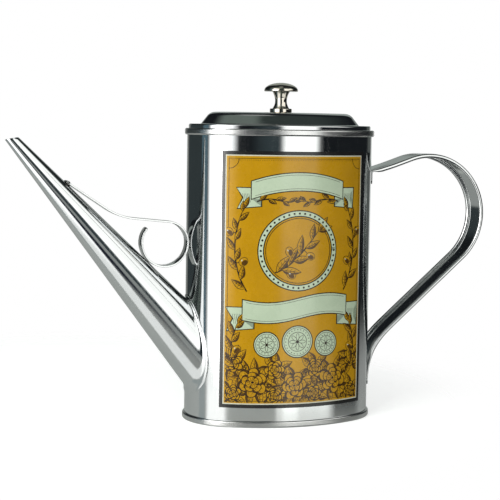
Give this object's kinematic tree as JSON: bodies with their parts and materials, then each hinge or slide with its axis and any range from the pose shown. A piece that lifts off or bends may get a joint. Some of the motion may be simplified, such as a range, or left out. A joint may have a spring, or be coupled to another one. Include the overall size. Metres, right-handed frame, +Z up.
{
  "type": "oval oil can with spout",
  "caption": "Oval polished steel oil can with a slanted pouring spout, scroll brace, strap handle and lift-off knobbed lid.",
  "frame": {"origin": "centre of the standing ring's plane, under the upright axis of the can's oval", "axes": "+Z up along the can's axis, -X towards the spout, +X towards the handle, -Y towards the label"},
  "size_m": [0.2812, 0.073, 0.1913],
  "materials": {
    "polished_sheet": "polished stainless steel sheet",
    "label": "gloss printed film",
    "solder": "dull solder",
    "knob_metal": "polished turned metal",
    "fastener": "zinc plated"
  },
  "bodies": {
    "can": {"body_shell": "polished_sheet", "mouth_ring": "polished_sheet", "base_pan": "polished_sheet", "front_label": "label", "spout_cone": "polished_sheet", "scroll_brace": "polished_sheet", "solder_spots": "solder", "handle_strap": "polished_sheet"},
    "lid": {"lid_cover": "polished_sheet", "lid_collar": "polished_sheet", "lid_knob": "knob_metal", "knob_screw": "fastener", "knob_washer": "fastener"}
  },
  "joints": [
    {"name": "lid_lift", "type": "slide", "parent": "can", "child": "lid", "axis": [0, 0, 1], "range_m": [0, 0.06]}
  ]
}
